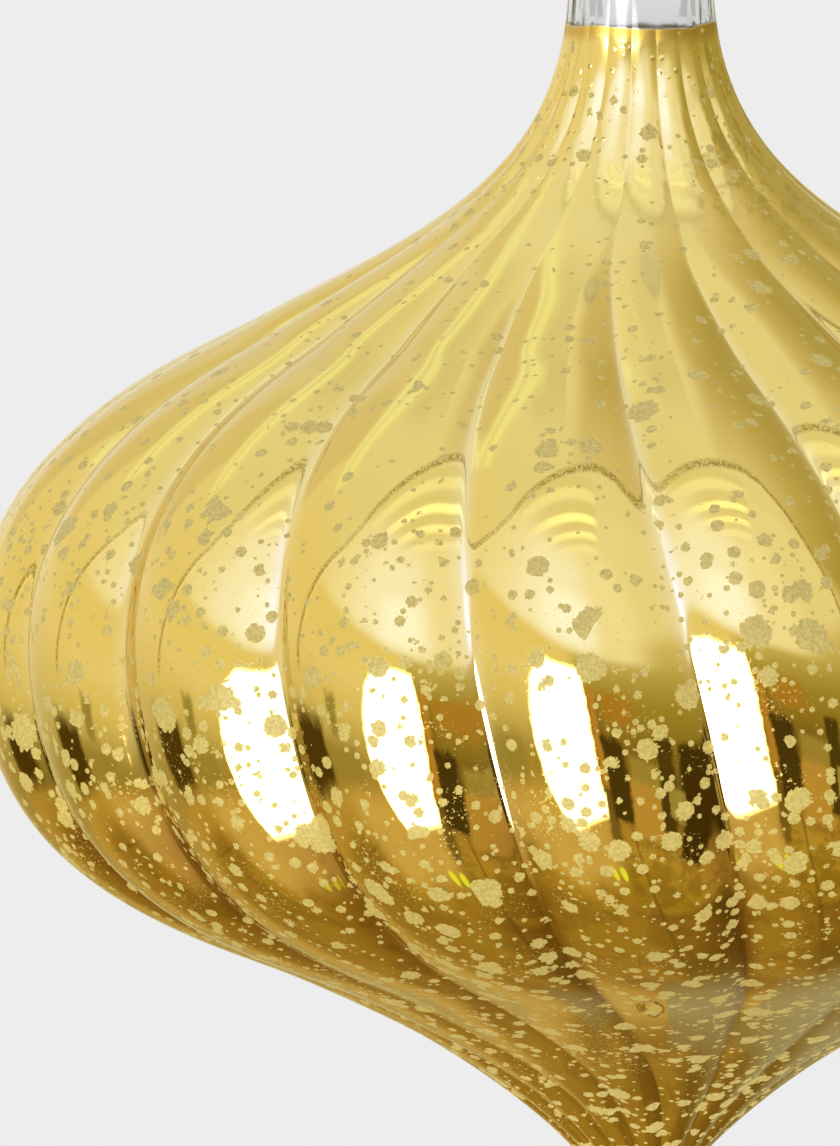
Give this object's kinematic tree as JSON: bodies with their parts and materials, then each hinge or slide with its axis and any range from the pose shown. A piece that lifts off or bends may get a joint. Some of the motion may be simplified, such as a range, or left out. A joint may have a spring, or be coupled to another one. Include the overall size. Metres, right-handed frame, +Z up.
{
  "type": "onion ornament",
  "caption": "Hollow blown glass onion ornament with swirling lobes, a metal cap and a wire hanger, for hanging as a decoration.",
  "frame": {"origin": "inside of the hanger's bow, at its top, where it bears on what the ornament hangs from", "axes": "+Z up along the ornament's axis, from the tip to the hanger; +X along the plane of the hanger's bow; -Y towards the viewer of the picture"},
  "size_m": [0.1498, 0.1498, 0.1639],
  "materials": {
    "mirrored_glass": "clear glossy glass with a gold mirror coating on its inside, worn into matt pale gold spots; the neck is bare clear glass",
    "cap_metal": "bright pressed sheet metal",
    "spring_wire": "bright drawn wire"
  },
  "bodies": {
    "root": {"glass_body": "mirrored_glass", "cap": "cap_metal", "hanger": "spring_wire"}
  },
  "joints": []
}
